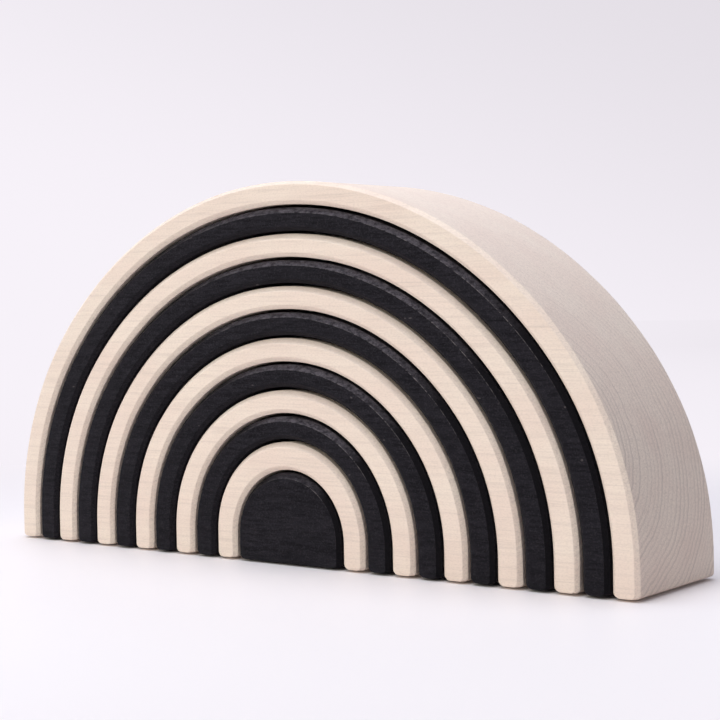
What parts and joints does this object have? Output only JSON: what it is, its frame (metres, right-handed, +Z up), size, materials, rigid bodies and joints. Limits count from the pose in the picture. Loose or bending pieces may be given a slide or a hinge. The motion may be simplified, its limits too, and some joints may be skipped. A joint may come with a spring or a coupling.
{
  "type": "rainbow stacker",
  "caption": "Wooden rainbow stacking toy: loose chamfered arches of bare and black-stained wood nested over a half-round core block.",
  "frame": {"origin": "middle of the nest on the surface that it stands on", "axes": "+X along the width over the feet, +Y from the front faces to the back faces, +Z up through the crowns"},
  "size_m": [0.37, 0.07, 0.18],
  "materials": {
    "natural_wood": "bare fine-sanded lime wood, matt, faint grain along the width",
    "black_wood": "matt black stain, worn a little paler along the chamfers"
  },
  "bodies": {
    "core": {"core_block": "black_wood"},
    "arch_1": {"natural_arch_1": "natural_wood"},
    "arch_2": {"black_arch_2": "black_wood"},
    "arch_3": {"natural_arch_3": "natural_wood"},
    "arch_4": {"black_arch_4": "black_wood"},
    "arch_5": {"natural_arch_5": "natural_wood"},
    "arch_6": {"black_arch_6": "black_wood"},
    "arch_7": {"natural_arch_7": "natural_wood"},
    "arch_8": {"black_arch_8": "black_wood"},
    "arch_9": {"natural_arch_9": "natural_wood"},
    "arch_10": {"black_arch_10": "black_wood"},
    "arch_11": {"natural_arch_11": "natural_wood"}
  },
  "joints": [
    {"name": "arch_1_slide", "type": "slide", "parent": "core", "child": "arch_1", "axis": [0, 1, 0], "range_m": [-0.075, 0.075]},
    {"name": "arch_2_slide", "type": "slide", "parent": "core", "child": "arch_2", "axis": [0, 1, 0], "range_m": [-0.075, 0.075]},
    {"name": "arch_3_slide", "type": "slide", "parent": "core", "child": "arch_3", "axis": [0, 1, 0], "range_m": [-0.075, 0.075]},
    {"name": "arch_4_slide", "type": "slide", "parent": "core", "child": "arch_4", "axis": [0, 1, 0], "range_m": [-0.075, 0.075]},
    {"name": "arch_5_slide", "type": "slide", "parent": "core", "child": "arch_5", "axis": [0, 1, 0], "range_m": [-0.075, 0.075]},
    {"name": "arch_6_slide", "type": "slide", "parent": "core", "child": "arch_6", "axis": [0, 1, 0], "range_m": [-0.075, 0.075]},
    {"name": "arch_7_slide", "type": "slide", "parent": "core", "child": "arch_7", "axis": [0, 1, 0], "range_m": [-0.075, 0.075]},
    {"name": "arch_8_slide", "type": "slide", "parent": "core", "child": "arch_8", "axis": [0, 1, 0], "range_m": [-0.075, 0.075]},
    {"name": "arch_9_slide", "type": "slide", "parent": "core", "child": "arch_9", "axis": [0, 1, 0], "range_m": [-0.075, 0.075]},
    {"name": "arch_10_slide", "type": "slide", "parent": "core", "child": "arch_10", "axis": [0, 1, 0], "range_m": [-0.075, 0.075]},
    {"name": "arch_11_slide", "type": "slide", "parent": "core", "child": "arch_11", "axis": [0, 1, 0], "range_m": [-0.075, 0.075]}
  ]
}
